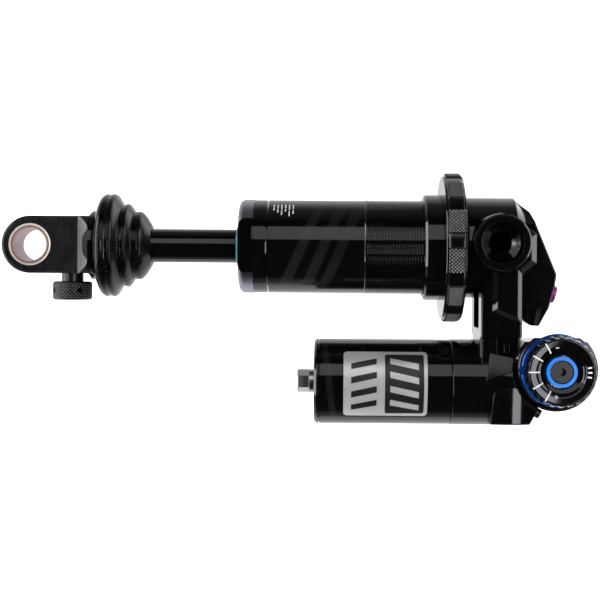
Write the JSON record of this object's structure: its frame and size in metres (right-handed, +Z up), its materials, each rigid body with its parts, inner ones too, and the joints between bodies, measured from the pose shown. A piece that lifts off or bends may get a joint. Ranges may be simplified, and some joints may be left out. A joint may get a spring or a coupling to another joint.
{
  "type": "bicycle rear shock",
  "caption": "Trunnion-mount rear shock damper with a side reservoir, rebound and compression adjusters and a threaded preload collar, shown without its coil spring.",
  "frame": {"origin": "centre of the eyelet's bushing bore, with the shock fully extended", "axes": "+X along the shaft from the eyelet to the trunnion head, +Z up, away from the reservoir, -Y towards the compression adjusters"},
  "size_m": [0.2357, 0.0598, 0.101],
  "materials": {
    "black_anodised": "gloss black anodised",
    "black_hard_anodised": "polished black anodised",
    "black_satin": "satin black anodised",
    "black_dial": "satin black anodised",
    "black_shaft": "polished black coated steel",
    "bare_aluminium": "turned",
    "grey_anodised": "gun-metal grey",
    "blue_anodised": "bright blue anodised",
    "magenta_anodised": "magenta anodised",
    "black_steel": "black oxide",
    "spring_steel": "bright",
    "brass": "turned",
    "bronze_bushing": "sintered bronze on steel",
    "bushing_polymer": "mauve low-friction polymer",
    "seal_rubber": "nitrile rubber",
    "teal_wiper": "teal polyurethane",
    "bumper_rubber": "speckled microcellular urethane"
  },
  "bodies": {
    "damper_body": {"head": "black_anodised", "damper_tube": "black_hard_anodised", "tube_o_ring": "seal_rubber", "seal_head": "black_satin", "dust_wiper": "teal_wiper", "shaft_bushing": "bronze_bushing", "shaft_seal": "seal_rubber", "seal_head_o_ring": "seal_rubber", "reservoir_tube": "black_hard_anodised", "reservoir_o_ring": "seal_rubber", "reservoir_end_cap": "black_anodised", "end_cap_o_ring": "seal_rubber", "charge_valve": "grey_anodised", "valve_core": "brass", "compression_cartridge": "black_satin", "cartridge_o_ring": "seal_rubber", "compression_piston": "bare_aluminium", "valve_shims": "spring_steel", "valve_bolt": "spring_steel", "index_ring": "blue_anodised", "port_plug": "magenta_anodised", "bleed_screw": "black_steel"},
    "shaft_assembly": {"shaft": "black_shaft", "eyelet": "black_anodised", "bushing_shell": "bronze_bushing", "bushing_liner": "bushing_polymer", "top_out_bumper": "seal_rubber", "rebound_shims": "spring_steel", "main_piston": "bare_aluminium", "piston_band": "bushing_polymer", "piston_shims": "spring_steel", "piston_nut": "spring_steel", "bumper": "bumper_rubber"},
    "rebound_adjuster": {"rebound_knob": "black_satin", "rebound_cam": "black_steel"},
    "rebound_rod": {"rebound_rod": "bare_aluminium"},
    "lsc_adjuster": {"lsc_dial": "black_dial", "lsc_spindle": "bare_aluminium"},
    "hsc_adjuster": {"hsc_ring": "blue_anodised", "hsc_cap": "black_satin", "hsc_spindle": "bare_aluminium"},
    "gas_piston": {"floating_piston": "bare_aluminium", "floating_piston_seal": "seal_rubber"},
    "spring_seat": {"spring_seat": "black_anodised"},
    "preload_collar": {"preload_collar": "black_anodised"}
  },
  "joints": [
    {"name": "shaft_slide", "type": "slide", "parent": "damper_body", "child": "shaft_assembly", "axis": [1, 0, 0], "range_m": [0, 0.05], "deforming": ["bumper"]},
    {"name": "rebound_knob_turn", "type": "hinge", "parent": "shaft_assembly", "child": "rebound_adjuster", "pos_m": [0.0154, 0, -0.018], "axis": [0, 0, 1], "range_deg": [-150, 150]},
    {"name": "rebound_rod_slide", "type": "slide", "parent": "shaft_assembly", "child": "rebound_rod", "axis": [1, 0, 0], "range_m": [-0.00067, 0.00067]},
    {"name": "lsc_dial_turn", "type": "hinge", "parent": "damper_body", "child": "lsc_adjuster", "pos_m": [0.2079, -0.023, -0.0478], "axis": [0, -1, 0], "range_deg": [-60, 60]},
    {"name": "hsc_adjuster_turn", "type": "hinge", "parent": "damper_body", "child": "hsc_adjuster", "pos_m": [0.2079, -0.023, -0.0478], "axis": [0, -1, 0], "range_deg": [-60, 60]},
    {"name": "gas_piston_slide", "type": "slide", "parent": "damper_body", "child": "gas_piston", "axis": [-1, 0, 0], "range_m": [0, 0.0103]},
    {"name": "spring_seat_slide", "type": "slide", "parent": "damper_body", "child": "spring_seat", "axis": [-1, 0, 0], "range_m": [0, 0.00562]},
    {"name": "preload_collar_turn", "type": "hinge", "parent": "spring_seat", "child": "preload_collar", "pos_m": [0.1677, 0, 0], "axis": [-1, 0, 0], "range_deg": [0, 1800]}
  ],
  "couplings": [
    {"joint": "rebound_knob_turn", "follows": "rebound_rod_slide", "rad_per_m": 3927},
    {"joint": "gas_piston_slide", "follows": "shaft_slide", "ratio": 0.20523},
    {"joint": "preload_collar_turn", "follows": "spring_seat_slide", "rad_per_m": 5585.1}
  ]
}
